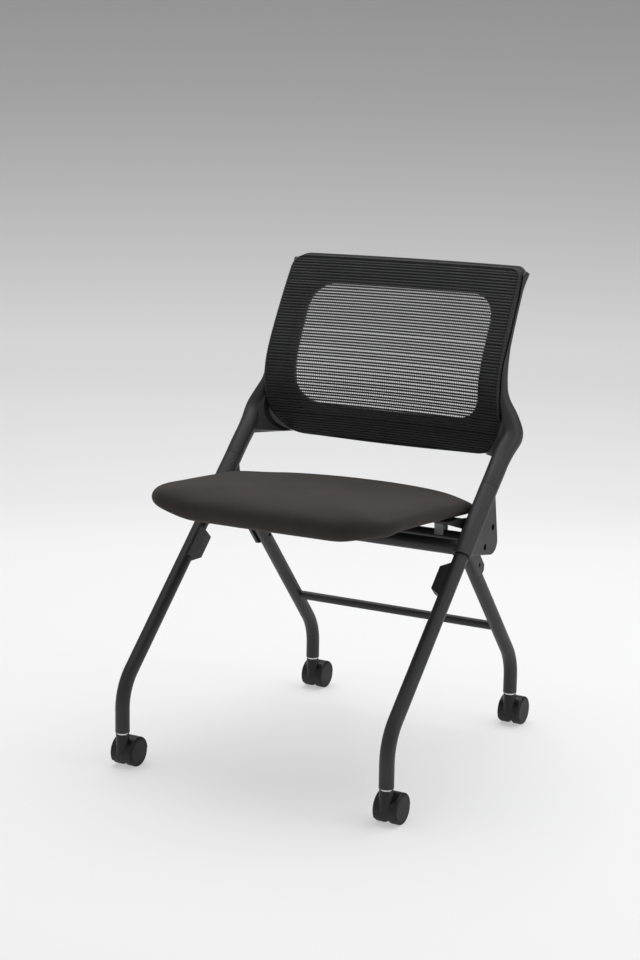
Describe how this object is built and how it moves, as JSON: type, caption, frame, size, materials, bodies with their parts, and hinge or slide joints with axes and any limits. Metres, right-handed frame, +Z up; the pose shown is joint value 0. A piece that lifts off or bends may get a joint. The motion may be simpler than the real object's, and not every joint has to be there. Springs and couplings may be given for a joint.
{
  "type": "nesting chair",
  "caption": "Nesting chair with a flip-up padded seat, a mesh back on raked uprights, bent tube legs and hooded twin-wheel casters.",
  "frame": {"origin": "on the floor under the middle of the chair's bounding box", "axes": "+Z up, the sitter faces -Y, +X is the sitter's left"},
  "size_m": [0.558, 0.6309, 0.853],
  "materials": {
    "frame_paint": "fine matte charcoal powder coat",
    "bracket_paint": "matte charcoal powder coat on a casting",
    "back_plastic": "dark charcoal, lightly textured",
    "carrier_plastic": "black, textured",
    "mesh": "black open-weave mesh",
    "seat_fabric": "dark brown-black smooth weave",
    "pan_plastic": "black moulded board",
    "hinge_steel": "black coated sheet",
    "dark_screw": "black oxide",
    "pad_plastic": "light grey",
    "bumper_plastic": "black, soft sheen",
    "hood_plastic": "satin black",
    "wheel_plastic": "dark grey",
    "stem_steel": "bright plated",
    "axle_steel": "bright turned",
    "socket_plastic": "black"
  },
  "bodies": {
    "frame": {"back_frame": "back_plastic", "back_mesh": "mesh", "carrier_screws": "dark_screw", "caster_sockets": "socket_plastic", "front_leg_left": "frame_paint", "front_leg_right": "frame_paint", "leg_bolts": "dark_screw", "leg_nuts": "dark_screw", "leg_spacers": "hinge_steel", "mesh_carrier": "carrier_plastic", "nesting_bumper_left": "bumper_plastic", "nesting_bumper_right": "bumper_plastic", "pivot_bolts": "dark_screw", "rear_crossbar": "frame_paint", "rear_leg_left": "frame_paint", "rear_leg_lug_left": "frame_paint", "rear_leg_lug_right": "frame_paint", "rear_leg_right": "frame_paint", "rest_bar": "frame_paint", "seat_beam": "frame_paint", "side_bracket_left": "bracket_paint", "side_bracket_right": "bracket_paint", "stop_pads": "pad_plastic", "upright_inserts": "frame_paint"},
    "seat": {"seat_cushion": "seat_fabric", "seat_pan": "pan_plastic", "hinge_bracket_left": "hinge_steel", "hinge_bracket_right": "hinge_steel", "hinge_bushes": "socket_plastic", "hinge_screws": "dark_screw"},
    "caster_front_left": {"caster_hood_front_left": "hood_plastic", "caster_stem_front_left": "stem_steel", "caster_axle_front_left": "axle_steel"},
    "wheel_outer_front_left": {"wheel_outer_front_left": "wheel_plastic"},
    "wheel_inner_front_left": {"wheel_inner_front_left": "wheel_plastic"},
    "caster_front_right": {"caster_hood_front_right": "hood_plastic", "caster_stem_front_right": "stem_steel", "caster_axle_front_right": "axle_steel"},
    "wheel_outer_front_right": {"wheel_outer_front_right": "wheel_plastic"},
    "wheel_inner_front_right": {"wheel_inner_front_right": "wheel_plastic"},
    "caster_rear_left": {"caster_hood_rear_left": "hood_plastic", "caster_stem_rear_left": "stem_steel", "caster_axle_rear_left": "axle_steel"},
    "wheel_outer_rear_left": {"wheel_outer_rear_left": "wheel_plastic"},
    "wheel_inner_rear_left": {"wheel_inner_rear_left": "wheel_plastic"},
    "caster_rear_right": {"caster_hood_rear_right": "hood_plastic", "caster_stem_rear_right": "stem_steel", "caster_axle_rear_right": "axle_steel"},
    "wheel_outer_rear_right": {"wheel_outer_rear_right": "wheel_plastic"},
    "wheel_inner_rear_right": {"wheel_inner_rear_right": "wheel_plastic"}
  },
  "joints": [
    {"name": "seat_flip", "type": "hinge", "parent": "frame", "child": "seat", "pos_m": [0, 0.03927, 0.42728], "axis": [-1, 0, 0], "range_deg": [0, 70]},
    {"name": "swivel_front_left", "type": "hinge", "parent": "frame", "child": "caster_front_left", "pos_m": [0.257, -0.303, 0.06], "axis": [0, 0, 1], "continuous": true},
    {"name": "spin_outer_front_left", "type": "hinge", "parent": "caster_front_left", "child": "wheel_outer_front_left", "pos_m": [0.257, -0.284, 0.025], "axis": [1, 0, 0], "continuous": true},
    {"name": "spin_inner_front_left", "type": "hinge", "parent": "caster_front_left", "child": "wheel_inner_front_left", "pos_m": [0.257, -0.284, 0.025], "axis": [1, 0, 0], "continuous": true},
    {"name": "swivel_front_right", "type": "hinge", "parent": "frame", "child": "caster_front_right", "pos_m": [-0.257, -0.303, 0.06], "axis": [0, 0, 1], "continuous": true},
    {"name": "spin_outer_front_right", "type": "hinge", "parent": "caster_front_right", "child": "wheel_outer_front_right", "pos_m": [-0.257, -0.284, 0.025], "axis": [1, 0, 0], "continuous": true},
    {"name": "spin_inner_front_right", "type": "hinge", "parent": "caster_front_right", "child": "wheel_inner_front_right", "pos_m": [-0.257, -0.284, 0.025], "axis": [1, 0, 0], "continuous": true},
    {"name": "swivel_rear_left", "type": "hinge", "parent": "frame", "child": "caster_rear_left", "pos_m": [0.211, 0.269, 0.06], "axis": [0, 0, 1], "continuous": true},
    {"name": "spin_outer_rear_left", "type": "hinge", "parent": "caster_rear_left", "child": "wheel_outer_rear_left", "pos_m": [0.211, 0.288, 0.025], "axis": [1, 0, 0], "continuous": true},
    {"name": "spin_inner_rear_left", "type": "hinge", "parent": "caster_rear_left", "child": "wheel_inner_rear_left", "pos_m": [0.211, 0.288, 0.025], "axis": [1, 0, 0], "continuous": true},
    {"name": "swivel_rear_right", "type": "hinge", "parent": "frame", "child": "caster_rear_right", "pos_m": [-0.211, 0.269, 0.06], "axis": [0, 0, 1], "continuous": true},
    {"name": "spin_outer_rear_right", "type": "hinge", "parent": "caster_rear_right", "child": "wheel_outer_rear_right", "pos_m": [-0.211, 0.288, 0.025], "axis": [1, 0, 0], "continuous": true},
    {"name": "spin_inner_rear_right", "type": "hinge", "parent": "caster_rear_right", "child": "wheel_inner_rear_right", "pos_m": [-0.211, 0.288, 0.025], "axis": [1, 0, 0], "continuous": true}
  ]
}
